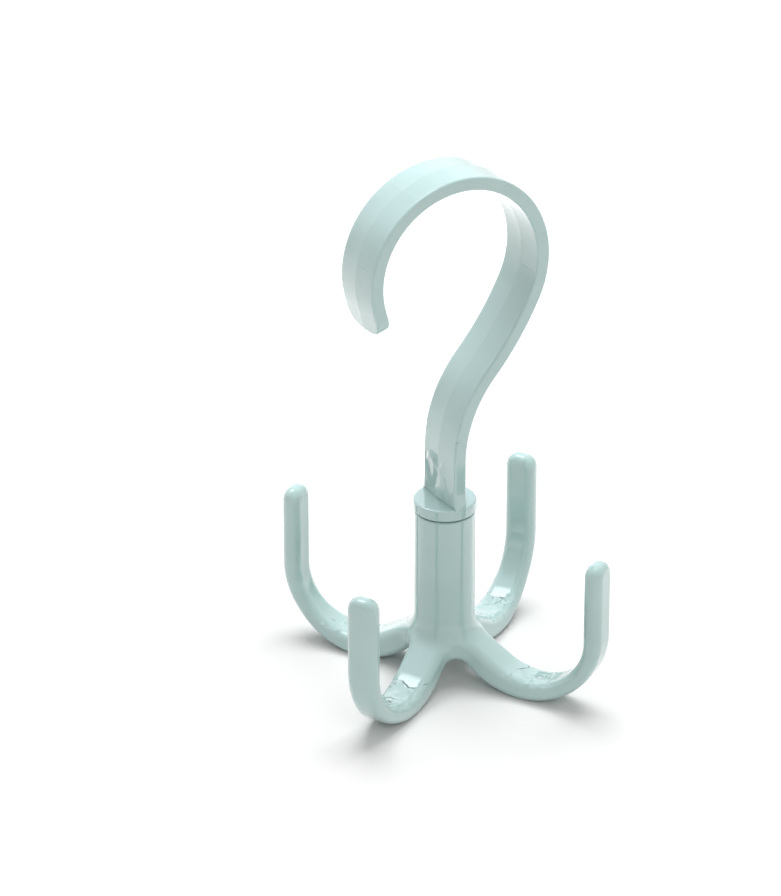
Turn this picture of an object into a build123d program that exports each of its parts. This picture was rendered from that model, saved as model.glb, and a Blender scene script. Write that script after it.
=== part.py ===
"""Rotating closet hook: a band hook that swivels on a hub with four upturned arms.

Millimetres, +Z up. The origin is on the floor under the hub's axis, where the four arms stand.
The arms point along +X, +Y, -X and -Y.
"""

import os
from math import acos, cos, degrees, hypot, radians, sin, sqrt

from build123d import *

os.makedirs("parts", exist_ok=True)

# Whole object; its span follows from the arms
height = 140.0

# Band hook: both wide faces rise a little from the edges to a ridge along the middle
band_width = 14.4
band_thickness = 3.5
ridge_rise = 0.35
band_rounding = 0.6
hook_yaw = 60.0
shank_share = 0.236
bend_share = 0.422
shank_lean = 43.0
neck_turn = 17.0
crown_radius = 24.4
crown_turn = 143.0
lip_radius = 22.3
lip_turn = 78.0
lip_length = 7.0
lip_flat = 5.4
web_rise = 4.5
web_inset = 0.05

# Collar and spindle, moulded with the hook
collar_radius = 7.95
collar_thickness = 3.0
collar_rounding = 0.6
thrust_radius = 5.6
spindle_radius = 4.0
spindle_chamfer = 0.4

# Claw: hub and arms
hub_radius = 7.65
hub_top = 46.3
hub_floor = 7.3
hub_rounding = 0.4
flare_radius = 6.5
root_slope = 32.0
trough_radius = 14.8
foot_reach = 23.3
bend_radius = 21.7
vault_radius = 4.0
groin_radius = 2.5
arm_thickness = 5.3
arm_width = 9.8
crotch_radius = 6.0
taper_length = 12.0
taper_margin = 6.0
taper_radius = 20.0
rod_width = 8.0
rod_thickness = 4.8
rod_top = 42.0
rod_flat = 0.4
tip_flat = 1.6
foot_depth = 0.25

# Seat for the washer and the screw, up under the hub
seat_play = 0.6
shelf_height = 11.5

# Washer and self-tapping screw
washer_radius = 5.0
washer_thickness = 0.8
screw_radius = 1.5
screw_length = 14.0
screw_point = 2.0
head_radius = 3.0
head_height = 2.0
head_rounding = 1.2
slot_width = 0.9
slot_span = 3.4
slot_depth = 1.1

# Clearances and overruns
turning_clearance = 0.05
end_play = 0.05
shelf_play = 0.1
collar_gap = 0.4
overrun = 1.0
tolerance = 0.001

# Places that follow from the sizes
reach = foot_reach + bend_radius
span = 2 * reach
rod_inner = reach - rod_thickness
arm_rounding = (rod_thickness - rod_flat) / 2
tip_corner = (rod_width - tip_flat) / 2
taper_end = reach - taper_margin
taper_start = taper_end - taper_length
claw_top = max(hub_top, rod_top) + overrun
seat_radius = washer_radius + seat_play
lip_corner = (band_width - lip_flat) / 2
collar_bottom = hub_top + collar_gap
collar_top = collar_bottom + collar_thickness
band_foot = collar_bottom + collar_rounding
spindle_end = shelf_height - shelf_play
washer_bottom = spindle_end - washer_thickness
head_bottom = washer_bottom - head_height
bore_radius = spindle_radius + turning_clearance

# Directions of the hook: along it, from the shank's side to the lip's side, and across its band
yaw = radians(hook_yaw)
along_hook = (cos(yaw), sin(yaw), 0)
across_hook = (sin(yaw), -cos(yaw), 0)
hook_plane = Plane(origin=(0, 0, 0), x_dir=along_hook, z_dir=across_hook)
band_plane = Plane(origin=(0, 0, band_foot), x_dir=across_hook, z_dir=(0, 0, 1))
web_plane = Plane(origin=(0, 0, 0), x_dir=across_hook, z_dir=tuple(-part for part in along_hook))

# Radii of the band's two lower bends, from the height that the crown leaves to them
lean = radians(shank_lean)
neck_lean = radians(shank_lean - neck_turn)
crown_rise = crown_radius * (1 + sin(neck_lean)) + band_thickness / 2 + ridge_rise
free_rise = height - crown_rise - collar_top
shank_top = collar_top + shank_share * free_rise
bend_rise = bend_share * free_rise
neck_rise = free_rise - (shank_top - collar_top) - bend_rise
shank_bend_radius = bend_rise / sin(lean)
neck_radius = neck_rise / (sin(lean) - sin(neck_lean))

# Places on an arm's side outline
root_angle = radians(root_slope)
trough_centre = rod_inner - trough_radius
trough_height = arm_thickness + trough_radius
root_end = (trough_centre - trough_radius * sin(root_angle), trough_height - trough_radius * cos(root_angle))
flare_reach = root_end[0] - hub_radius - flare_radius
flare_height = root_end[1] + (flare_radius + flare_reach * sin(root_angle)) / cos(root_angle)
bend_height = bend_radius - foot_depth
vault_turn = degrees(acos((bend_height - hub_floor + vault_radius) / (bend_radius + vault_radius)))
root_reach = arm_width / 2 + crotch_radius

# Where the webs come down on the collar, a little inside its rim
web_reach = collar_radius - web_inset


def disc(radius, low, high, mode=Mode.ADD):
    """A round disc or bore about the hook's axis, from one height to another."""
    with BuildSketch(Plane.XY.offset(low)) as ring:
        Circle(radius)
    extrude(ring.sketch, amount=high - low, mode=mode)


def shared_edges(some, others):
    """The edges at which some faces meet others."""
    borders = others.edges()
    return ShapeList(edge for edge in some.edges() if edge in borders)


def corner_distance(corner):
    """How far out along its arm a corner of the cross lies."""
    return max(abs(corner.X), abs(corner.Y))


def is_arm_side(face):
    """Whether a face is an arm's upright side, and not the hub or the inside or outside of a rod."""
    spot = face.position_at(0.5, 0.5)
    distance = hypot(spot.X, spot.Y)
    upright = abs(face.normal_at(spot).Z) < tolerance
    return upright and min(abs(distance - place) for place in (hub_radius, rod_inner, reach)) > tolerance


def is_groin(edge):
    """Whether an edge is one of the four under the hub where the undersides of two arms meet."""
    spot = edge.position_at(0.5)
    return abs(abs(spot.X) - abs(spot.Y)) < tolerance and spot.Z < hub_floor + tolerance


def is_narrow(face):
    """Whether a face of the band runs along its edge or round the end of the lip."""
    spot = face.position_at(0.5, 0.5)
    across = abs(face.normal_at(spot).dot(Vector(*across_hook)))
    corner = face.geom_type == GeomType.CYLINDER and face.area < lip_corner * band_width
    return across > cos(radians(45)) or corner


def is_tip(face):
    """Whether a face is the flat end of a rod or one of the round corners beside it."""
    spot = face.position_at(0.5, 0.5)
    return hypot(spot.X, spot.Y) > rod_inner and spot.Z > rod_top - tip_corner


# Top hook: band, collar and spindle in one moulding
with BuildPart() as top_hook:
    with BuildLine(hook_plane) as band_path:
        shank = Line((0, band_foot), (0, shank_top))
        shank_bend = JernArc(shank @ 1, shank % 1, shank_bend_radius, -shank_lean)
        neck = JernArc(shank_bend @ 1, shank_bend % 1, neck_radius, neck_turn)
        crown = JernArc(neck @ 1, neck % 1, crown_radius, crown_turn)
        lip = JernArc(crown @ 1, crown % 1, lip_radius, lip_turn)
        lip_end = Line(lip @ 1, lip @ 1 + (lip % 1) * lip_length)
    with BuildSketch(band_plane):
        Polygon(
            (band_width / 2, -band_thickness / 2), (band_width / 2, band_thickness / 2),
            (0, band_thickness / 2 + ridge_rise), (-band_width / 2, band_thickness / 2),
            (-band_width / 2, -band_thickness / 2), (0, -band_thickness / 2 - ridge_rise),
            align=None,
        )
    sweep(path=band_path.wires()[0])
    end = top_hook.faces().sort_by_distance(lip_end @ 1)[0]
    fillet(end.edges().sort_by(SortBy.LENGTH)[:2], radius=lip_corner)
    # webs that carry the band's narrow faces out to the collar's rim
    with BuildSketch(web_plane):
        with BuildLine():
            rim = Line((web_reach, band_foot), (web_reach, collar_top))
            slope = Spline(rim @ 1, (band_width / 2, collar_top + web_rise), tangents=((0, 1), (0, 1)))
            Polyline(slope @ 1, (0, collar_top + web_rise), (0, band_foot), rim @ 0)
        make_face()
        mirror(about=Plane.YZ)
    extrude(amount=band_thickness / 2, both=True)
    end = top_hook.faces().sort_by_distance(lip_end @ 1)[0]
    foot = top_hook.faces().group_by(Axis.Z)[0]
    narrow = top_hook.faces().filter_by(lambda face: is_narrow(face) or face == end)
    wide = ShapeList(face for face in top_hook.faces() if face not in narrow and face not in foot)
    fillet(shared_edges(narrow, wide), radius=band_rounding)
    # the collar with its rounded rims
    with BuildSketch(Plane.XZ) as collar_outline:
        Polygon(
            (0, collar_bottom), (collar_radius, collar_bottom), (collar_radius, collar_top), (0, collar_top),
            align=None,
        )
        fillet(collar_outline.vertices().group_by(Axis.X)[-1], radius=collar_rounding)
    revolve(axis=Axis.Z)
    disc(thrust_radius, hub_top + end_play, collar_bottom)
    disc(spindle_radius, spindle_end, collar_bottom)
    chamfer(top_hook.edges().sort_by(Axis.Z)[0], length=spindle_chamfer)
    disc(screw_radius, spindle_end, washer_bottom + screw_length, mode=Mode.SUBTRACT)
top_hook.part.label = "top_hook"

# Claw: the hub and its four arms in one moulding
with BuildPart() as claw:
    # what lies over the undersides of the arms, one pair at a time
    for side_plane in (Plane.XZ, Plane.YZ):
        with BuildSketch(side_plane):
            with BuildLine():
                outside = Line((reach, claw_top), (reach, bend_height))
                bend = JernArc(outside @ 1, outside % 1, bend_radius, -90 - vault_turn)
                vault = JernArc(bend @ 1, bend % 1, vault_radius, vault_turn)
                Polyline(vault @ 1, (0, (vault @ 1).Y), (0, claw_top), (reach, claw_top))
            make_face()
            mirror(about=Plane.YZ)
        extrude(amount=root_reach, both=True)
    # the cross that the arms make from above
    with BuildSketch(Plane.XY.offset(-overrun)) as cross:
        for turn in (0, 90):
            with Locations(Rotation(0, 0, turn)):
                Polygon(
                    (reach, rod_width / 2), (taper_end, rod_width / 2), (taper_start, arm_width / 2),
                    (-taper_start, arm_width / 2), (-taper_end, rod_width / 2), (-reach, rod_width / 2),
                    (-reach, -rod_width / 2), (-taper_end, -rod_width / 2), (-taper_start, -arm_width / 2),
                    (taper_start, -arm_width / 2), (taper_end, -rod_width / 2), (reach, -rod_width / 2),
                    align=None,
                )
        fillet(cross.vertices().group_by(corner_distance)[0], radius=crotch_radius)
        for bend_place in (taper_start, taper_end):
            bends = cross.vertices().filter_by(lambda corner: abs(corner_distance(corner) - bend_place) < tolerance)
            fillet(bends, radius=taper_radius)
    extrude(amount=claw_top + overrun, mode=Mode.INTERSECT)
    # the hub, and the arms' upper faces round about its axis
    with BuildSketch(Plane.XZ):
        with BuildLine():
            hub_side = Line((hub_radius, hub_top), (hub_radius, flare_height))
            flare = JernArc(hub_side @ 1, hub_side % 1, flare_radius, 90 - root_slope)
            root = Line(flare @ 1, root_end)
            trough = JernArc(root @ 1, root % 1, trough_radius, 90 + root_slope)
            Polyline(
                trough @ 1, (rod_inner, rod_top), (reach + overrun, rod_top), (reach + overrun, -overrun),
                (0, -overrun), (0, hub_top), (hub_radius, hub_top),
            )
        make_face()
    revolve(axis=Axis.Z, mode=Mode.INTERSECT)
    groins = claw.edges().filter_by(is_groin)
    fillet(groins, radius=groin_radius)
    sides = claw.faces().filter_by(is_arm_side)
    fillet(shared_edges(claw.faces().filter_by(is_tip), sides), radius=tip_corner)
    sides = claw.faces().filter_by(lambda face: is_arm_side(face) or is_tip(face))
    others = ShapeList(face for face in claw.faces() if face not in sides)
    fillet(shared_edges(sides, others), radius=arm_rounding)
    fillet(claw.edges().sort_by(Axis.Z)[-1], radius=hub_rounding)
    # the feet, flat where the arms stand
    disc(span, -overrun, 0, mode=Mode.SUBTRACT)
    disc(bore_radius, shelf_height, hub_top, mode=Mode.SUBTRACT)
    disc(seat_radius, 0, shelf_height, mode=Mode.SUBTRACT)
claw.part.label = "claw"

# Washer that holds the spindle in the hub and turns with it
with BuildPart() as retaining_washer:
    disc(washer_radius, washer_bottom, spindle_end)
    disc(screw_radius, washer_bottom, spindle_end, mode=Mode.SUBTRACT)
retaining_washer.part.label = "retaining_washer"

# Self-tapping screw, driven up into the spindle from below
with BuildPart() as retaining_screw:
    disc(head_radius, head_bottom, washer_bottom)
    fillet(retaining_screw.edges().sort_by(Axis.Z)[0], radius=head_rounding)
    disc(screw_radius, washer_bottom, washer_bottom + screw_length)
    chamfer(retaining_screw.edges().sort_by(Axis.Z)[-1], length=screw_point, length2=screw_radius / 2)
    with BuildSketch(Plane.XY.offset(head_bottom)):
        for turn in (0, 90):
            with Locations(Rotation(0, 0, turn)):
                Rectangle(slot_span, slot_width)
    extrude(amount=slot_depth, mode=Mode.SUBTRACT)
retaining_screw.part.label = "retaining_screw"

for piece in (top_hook, claw, retaining_washer, retaining_screw):
    export_step(piece.part, f"parts/{piece.part.label}.step")
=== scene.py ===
import math
import bpy
from mathutils import Matrix, Vector

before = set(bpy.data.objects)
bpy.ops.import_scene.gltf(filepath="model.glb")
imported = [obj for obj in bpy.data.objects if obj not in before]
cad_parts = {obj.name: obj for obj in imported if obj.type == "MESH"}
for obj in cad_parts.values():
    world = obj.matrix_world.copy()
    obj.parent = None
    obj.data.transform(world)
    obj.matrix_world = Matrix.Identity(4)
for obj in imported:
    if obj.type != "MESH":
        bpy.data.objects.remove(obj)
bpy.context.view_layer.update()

# The photograph's camera. Directions are in degrees from the object's front (-Y) towards its
# right (+X), and up. Lengths are in metres, and the lens and sensor in millimetres.
CAMERA_HEADING = (28.2, 27.9)
CAMERA_DISTANCE = 1.3
CAMERA_LENS = 210.8
CAMERA_SENSOR = 36
CAMERA_SEES_TO = 20
# The point it looks at: how far to the camera's right of the hub's axis, and how high.
LOOK_RIGHT = -0.01356
LOOK_UP = 0.06352

# Colours are linear red, green and blue.
WHITE = (1, 1, 1)
AQUA = (0.392, 0.540, 0.520)
ZINC_DARK = (0.50, 0.52, 0.55)
ZINC_LIGHT = (0.66, 0.68, 0.70)
TABLE_DARK = (0.795, 0.780, 0.772)
TABLE_LIGHT = (0.805, 0.790, 0.782)
CEILING_TINT = (0.88, 0.95, 1.02)

# The bump distance of each relief, in metres.
SINK_DEPTH = 0.00022
PEEL_DEPTH = 0.0000025
FOLD_DEPTH = 0.0013
MARK_DEPTH = 0.0002
ZINC_GRAIN_DEPTH = 0.00001

# The band's parting line and cross lines: half widths in metres, and their shares of MARK_DEPTH.
PARTING_HALF_WIDTH = 0.00022
PARTING_RISE = 0.06
NICK_HALF_WIDTH = 0.0002
NICK_DEPTH = 0.4
# How far a cross line's colour goes towards the dark one, as painted shade in its groove.
NICK_PAINTED_SHADE = 0.6

# The arms' ripples begin between these heights, moved up and down by a noise.
TROUGH_FOLD_TOP = 0.0062
TROUGH_FOLD_FULL = 0.0057
TROUGH_RAGGED = 0.004
# They lie on faces that look up by this much, as the Z of the face's direction.
UPWARD_BEGINS = 0.25
UPWARD_FULL = 0.6

# The shank's ripples end between these heights, moved by a noise, and stop at the collar's top.
SHANK_FOLD_TOP = 0.0610
SHANK_FOLD_FULL = 0.0590
SHANK_RAGGED = 0.012
COLLAR_TOP = 0.0499
COLLAR_CLEAR = 0.0503
# Their relief is the noise times the first, plus the second, so that some of it lies below the face.
SHANK_FOLD_SCALE = 0.8
SHANK_FOLD_SINK = -0.25
# They lie on the wide faces, whose direction runs along the hook by this much.
WIDE_BEGINS = 0.75
WIDE_FULL = 0.9
# A noise squeezed along Z gives shapes that stand upright.
UPRIGHT = (1.0, 1.0, 0.35)

# The hook's own directions in the floor's plane: the way its path runs, and across its band.
ALONG_HOOK = (0.5, math.sqrt(0.75), 0.0)
ACROSS_HOOK = (math.sqrt(0.75), -0.5, 0.0)

# The band's cross lines: height, middle across the band, half of the length, which side of the
# axis, and how deep.
NICKS = (
    (0.1213, -0.0040, 0.0030, -1, 0.35),
    (0.1208, 0.0024, 0.0028, -1, 1.0),
    (0.1093, 0.0040, 0.0026, 1, 0.8),
    (0.0683, 0.0069, 0.0004, -1, 0.7),
)

FLOOR_SIZE = 8
# The floor's lift to white: the distances between which it rises, and its values at these.
NEAR_LIFT = (0.035, 0.14, 0.0, 0.35)
FAR_LIFT = (0.5, 2.0, 0.0, 0.25)

# The room as the gloss shows it. Each part has its heading, then the cosines of the angle from
# that heading at which it begins and is full, then what it adds to plain white.
CEILING_HEADING = (-125, 55)
CEILING_SPAN = (0.45, 0.85)
CEILING_ADDS = 0.75
GLOW_HEADING = (-112, 65)
GLOW_SPAN = (0.961, 0.9925)
GLOW_ADDS = 4.5
# How bright the world is to the rays that only light the object.
FILL = 0.52

# The lamps look at this point.
LAMP_TARGET = (0, 0, 0.05)

# The Mix node's colour sockets by number, because its names repeat.
MIX_FIRST = 6
MIX_SECOND = 7
MIX_RESULT = 2


def heading(azimuth, elevation):
    """The direction of a heading in degrees, as x, y and z."""
    azimuth = math.radians(azimuth)
    elevation = math.radians(elevation)
    level = math.cos(elevation)
    return (math.sin(azimuth) * level, -math.cos(azimuth) * level, math.sin(elevation))


def place_camera():
    """The photograph's view: from the front right, looking down on the object."""
    forward = -Vector(heading(*CAMERA_HEADING))
    azimuth = math.radians(CAMERA_HEADING[0])
    right = Vector((math.cos(azimuth), math.sin(azimuth), 0))
    up = right.cross(forward)
    target = right * LOOK_RIGHT + Vector((0, 0, LOOK_UP))
    data = bpy.data.cameras.new("camera")
    data.lens = CAMERA_LENS
    data.sensor_width = CAMERA_SENSOR
    data.clip_end = CAMERA_SEES_TO
    camera = bpy.data.objects.new("camera", data)
    bpy.context.collection.objects.link(camera)
    turn = Matrix((right, up, -forward)).transposed().to_4x4()
    camera.matrix_world = Matrix.Translation(target - forward * CAMERA_DISTANCE) @ turn
    bpy.context.scene.camera = camera
    bpy.context.scene.view_settings.view_transform = "Standard"


def rgba(colour, scale=1.0):
    """A colour times a number, as a socket takes it."""
    return tuple(channel * scale for channel in colour) + (1,)


class Nodes:
    """A small writer of shader nodes for one material or world."""

    def __init__(self, owner):
        owner.use_nodes = True
        self.tree = owner.node_tree
        self.tree.nodes.clear()

    def add(self, kind, inputs=None, **settings):
        """A new node; an input is a value or another node's output."""
        node = self.tree.nodes.new(kind)
        for key, value in settings.items():
            setattr(node, key, value)
        for key, value in (inputs or {}).items():
            self.put(node, key, value)
        return node

    def put(self, node, key, value):
        socket = node.inputs[key]
        if isinstance(value, bpy.types.NodeSocket):
            self.tree.links.new(value, socket)
        else:
            socket.default_value = value

    def finish(self, shader, output_kind):
        """Links the shader to the tree's output."""
        output = self.add(output_kind)
        self.tree.links.new(shader.outputs[0], output.inputs["Surface"])

    def math(self, operation, *values):
        node = self.add("ShaderNodeMath", operation=operation)
        for place, value in enumerate(values):
            self.put(node, place, value)
        return node.outputs[0]

    def times(self, first, second):
        return self.math("MULTIPLY", first, second)

    def plus(self, first, second):
        return self.math("ADD", first, second)

    def either(self, first, second):
        return self.math("MAXIMUM", first, second)

    def noise(self, coords, scale, detail, rough=0.5, distortion=0.0):
        node = self.add("ShaderNodeTexNoise", {
            "Vector": coords, "Scale": scale, "Detail": detail,
            "Roughness": rough, "Distortion": distortion,
        })
        return node.outputs["Fac"]

    def wander(self, coords, scale, detail, reach):
        """A noise that moves a line by up to half of reach either way."""
        return self.math("MULTIPLY_ADD", self.noise(coords, scale, detail), reach, -reach / 2)

    def span(self, value, low, high, out_low=0.0, out_high=1.0):
        """A smooth step from out_low, where value is low, to out_high, where it is high."""
        node = self.add("ShaderNodeMapRange", {
            "Value": value, "From Min": low, "From Max": high,
            "To Min": out_low, "To Max": out_high,
        }, interpolation_type="SMOOTHSTEP")
        return node.outputs["Result"]

    def mix(self, factor, first, second):
        node = self.add("ShaderNodeMix", {"Factor": factor}, data_type="RGBA")
        self.put(node, MIX_FIRST, first)
        self.put(node, MIX_SECOND, second)
        return node.outputs[MIX_RESULT]

    def bump(self, height, distance, normal=None):
        node = self.add("ShaderNodeBump", {"Height": height, "Distance": distance})
        if normal is not None:
            self.put(node, "Normal", normal)
        return node.outputs["Normal"]

    def z_of(self, vector):
        return self.add("ShaderNodeSeparateXYZ", {"Vector": vector}).outputs["Z"]

    def along(self, vector, direction):
        """How far a vector reaches along a direction."""
        node = self.add("ShaderNodeVectorMath", {0: vector, 1: direction}, operation="DOT_PRODUCT")
        return node.outputs["Value"]

    def stroke(self, value, half_width):
        """1 on a line where value is 0, falling to 0 at half_width on either side."""
        return self.span(self.math("ABSOLUTE", value), half_width, 0.0)

    def own_normal(self):
        """The surface's direction in its own piece's axes, which turn with the piece."""
        in_room = self.add("ShaderNodeNewGeometry").outputs["Normal"]
        turned = self.add(
            "ShaderNodeVectorTransform", {"Vector": in_room},
            vector_type="NORMAL", convert_from="WORLD", convert_to="OBJECT",
        )
        return turned.outputs["Vector"]


def moulded_plastic(name, folds, marks=None):
    """Glossy pale aqua plastic; folds gives its flow ripples, and marks its parting line and nicks."""
    material = bpy.data.materials.new(name)
    n = Nodes(material)
    coords = n.add("ShaderNodeTexCoord").outputs["Object"]
    # cloudy colour, as pigment mixes unevenly
    cloud = n.span(n.noise(coords, scale=55, detail=3, rough=0.55), 0.3, 0.7)
    colour = n.mix(cloud, rgba(AQUA, 0.965), rgba(AQUA, 1.035))
    uneven = n.noise(coords, scale=160, detail=3, rough=0.6)
    rough = n.span(uneven, 0.3, 0.7, out_low=0.04, out_high=0.09)
    # the skin: slow sink waves, an orange peel, and flow ripples where the melt turned
    skin = n.bump(n.noise(coords, scale=60, detail=1, rough=0.4), SINK_DEPTH)
    skin = n.bump(n.noise(coords, scale=900, detail=2), PEEL_DEPTH, skin)
    skin = n.bump(folds(n, coords), FOLD_DEPTH, skin)
    if marks:
        parting, nicks = marks(n, coords)
        relief = n.math("MULTIPLY_ADD", parting, PARTING_RISE, n.times(nicks, -NICK_DEPTH))
        skin = n.bump(relief, MARK_DEPTH, skin)
        # painted shade: the cross lines' grooves are darkened in the colour
        colour = n.mix(n.times(nicks, NICK_PAINTED_SHADE), colour, rgba(AQUA, 0.55))
    shader = n.add("ShaderNodeBsdfPrincipled", {
        "Base Color": colour, "Roughness": rough, "Normal": skin, "IOR": 1.5,
        "Coat Weight": 1.0, "Coat Roughness": 0.04, "Coat Normal": skin,
        "Subsurface Weight": 0.12, "Subsurface Scale": 0.0015, "Subsurface Radius": (0.8, 1.0, 1.0),
    })
    n.finish(shader, "ShaderNodeOutputMaterial")
    return material


def trough_folds(n, coords):
    """Ripples on the upper faces of the arms, which begin on a ragged line low in each trough."""
    ragged = n.wander(coords, scale=240, detail=1.5, reach=TROUGH_RAGGED)
    low = n.span(n.plus(n.z_of(coords), ragged), TROUGH_FOLD_TOP, TROUGH_FOLD_FULL)
    upward = n.span(n.z_of(n.own_normal()), UPWARD_BEGINS, UPWARD_FULL)
    ripples = n.noise(coords, scale=150, detail=1.3, distortion=0.7)
    return n.times(ripples, n.times(low, upward))


def shank_folds(n, coords):
    """Upright ripples on the wide faces of the shank's foot, just over the collar."""
    height = n.z_of(coords)
    squeeze = n.add("ShaderNodeVectorMath", {0: coords, 1: UPRIGHT}, operation="MULTIPLY")
    upright = squeeze.outputs["Vector"]
    streaks = n.noise(upright, scale=210, detail=0.5, distortion=0.8)
    ripples = n.math("MULTIPLY_ADD", streaks, SHANK_FOLD_SCALE, SHANK_FOLD_SINK)
    ragged = n.wander(upright, scale=280, detail=1, reach=SHANK_RAGGED)
    low = n.span(n.plus(height, ragged), SHANK_FOLD_TOP, SHANK_FOLD_FULL)
    facing = n.math("ABSOLUTE", n.along(n.own_normal(), ALONG_HOOK))
    wide = n.span(facing, WIDE_BEGINS, WIDE_FULL)
    over_collar = n.span(height, COLLAR_TOP, COLLAR_CLEAR)
    return n.times(n.times(ripples, low), n.times(wide, over_collar))


def band_marks(n, coords):
    """The parting line down the middle of the band, and the faint cross lines left by the mould."""
    across = n.along(coords, ACROSS_HOOK)
    parting = n.stroke(across, PARTING_HALF_WIDTH)
    height = n.z_of(coords)
    reach = n.along(coords, ALONG_HOOK)
    wander = n.wander(coords, scale=700, detail=2, reach=0.0005)
    nicks = 0.0
    for level, middle, half, side, depth in NICKS:
        line = n.stroke(n.plus(n.math("SUBTRACT", height, level), wander), NICK_HALF_WIDTH)
        from_middle = n.math("ABSOLUTE", n.math("SUBTRACT", across, middle))
        there = n.span(from_middle, half, half * 0.8)
        where = n.span(n.times(reach, side), 0.0, 0.0008)
        nick = n.times(n.times(line, there), n.times(where, depth))
        nicks = n.either(nicks, nick)
    return parting, nicks


def zinc_steel(name):
    """Zinc-plated steel, slightly uneven."""
    material = bpy.data.materials.new(name)
    n = Nodes(material)
    coords = n.add("ShaderNodeTexCoord").outputs["Object"]
    grain = n.noise(coords, scale=1400, detail=4, rough=0.6)
    shader = n.add("ShaderNodeBsdfPrincipled", {
        "Base Color": n.mix(grain, rgba(ZINC_DARK), rgba(ZINC_LIGHT)),
        "Roughness": n.span(grain, 0.2, 0.8, out_low=0.22, out_high=0.4),
        "Metallic": 1.0, "Normal": n.bump(grain, ZINC_GRAIN_DEPTH),
    })
    n.finish(shader, "ShaderNodeOutputMaterial")
    return material


def dress(node, material):
    """Gives a CAD node its finished material."""
    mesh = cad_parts[node].data
    mesh.materials.clear()
    mesh.materials.append(material)


def lay_floor():
    """A white table that is burnt out to white away from the object, and keeps its shadow."""
    bpy.ops.mesh.primitive_plane_add(size=FLOOR_SIZE)
    floor = bpy.context.object
    floor.name = "floor"
    white = bpy.data.materials.new("table_white")
    n = Nodes(white)
    coords = n.add("ShaderNodeTexCoord").outputs["Object"]
    distance = n.add("ShaderNodeVectorMath", {0: coords}, operation="LENGTH").outputs["Value"]
    path = n.add("ShaderNodeLightPath").outputs
    reflected = n.either(path["Is Glossy Ray"], path["Is Transmission Ray"])
    seen = n.either(path["Is Camera Ray"], reflected)
    # a faint mottle, as in painted board
    patches = n.noise(coords, scale=90, detail=3)
    mottle = n.mix(patches, rgba(TABLE_DARK), rgba(TABLE_LIGHT))
    paper = n.add("ShaderNodeBsdfDiffuse", {"Color": mottle})
    # the near lift clears the shadow's surroundings, and the far one the floor beyond the lamps
    lift = n.plus(n.span(distance, *NEAR_LIFT), n.span(distance, *FAR_LIFT))
    glow = n.add("ShaderNodeEmission", {"Color": rgba(WHITE), "Strength": n.times(seen, lift)})
    both = n.add("ShaderNodeAddShader", {0: paper.outputs[0], 1: glow.outputs[0]})
    n.finish(both, "ShaderNodeOutputMaterial")
    floor.data.materials.append(white)


def light_world():
    """A white world, soft light all round, and for the gloss a bluish ceiling and a soft glow."""
    world = bpy.data.worlds.new("studio")
    bpy.context.scene.world = world
    n = Nodes(world)
    path = n.add("ShaderNodeLightPath").outputs
    direction = n.add("ShaderNodeTexCoord").outputs["Generated"]
    backdrop = n.either(path["Is Camera Ray"], path["Is Transmission Ray"])
    ceiling = n.span(n.along(direction, heading(*CEILING_HEADING)), *CEILING_SPAN)
    glow = n.span(n.along(direction, heading(*GLOW_HEADING)), *GLOW_SPAN)
    added = n.math("MULTIPLY_ADD", glow, GLOW_ADDS, n.times(ceiling, CEILING_ADDS))
    glossy = n.times(path["Is Glossy Ray"], n.plus(added, 1.0))
    unseen = n.math("SUBTRACT", 1.0, n.either(backdrop, path["Is Glossy Ray"]))
    strength = n.plus(n.plus(backdrop, glossy), n.times(unseen, FILL))
    colour = n.mix(n.times(ceiling, path["Is Glossy Ray"]), rgba(WHITE), rgba(CEILING_TINT))
    sky = n.add("ShaderNodeBackground", {"Color": colour, "Strength": strength})
    n.finish(sky, "ShaderNodeOutputWorld")


def softbox(name, place, size, power, colour):
    """A rectangular lamp of this size in metres and power in watts, turned to the object."""
    data = bpy.data.lights.new(name, "AREA")
    data.color = colour
    data.shape = "RECTANGLE"
    data.size, data.size_y = size
    data.energy = power
    lamp = bpy.data.objects.new(name, data)
    bpy.context.collection.objects.link(lamp)
    place = Vector(place)
    lamp.location = place
    lamp.rotation_euler = (Vector(LAMP_TARGET) - place).to_track_quat("-Z", "Y").to_euler()
    # the gloss shows the world's own ceiling and glow, and no hard-edged box
    lamp.visible_glossy = False


place_camera()
dress("claw", moulded_plastic("claw_plastic_aqua", trough_folds))
dress("top_hook", moulded_plastic("hook_plastic_aqua", shank_folds, band_marks))
steel = zinc_steel("zinc_plate")
dress("retaining_screw", steel)
dress("retaining_washer", steel)
lay_floor()
light_world()
softbox("overhead", (-0.10, 0.30, 1.10), (0.9, 0.8), 13.0, (0.96, 1.0, 1.01))
softbox("front_right", (0.75, -0.65, 0.75), (0.45, 0.6), 2.0, (1.0, 1.0, 0.98))
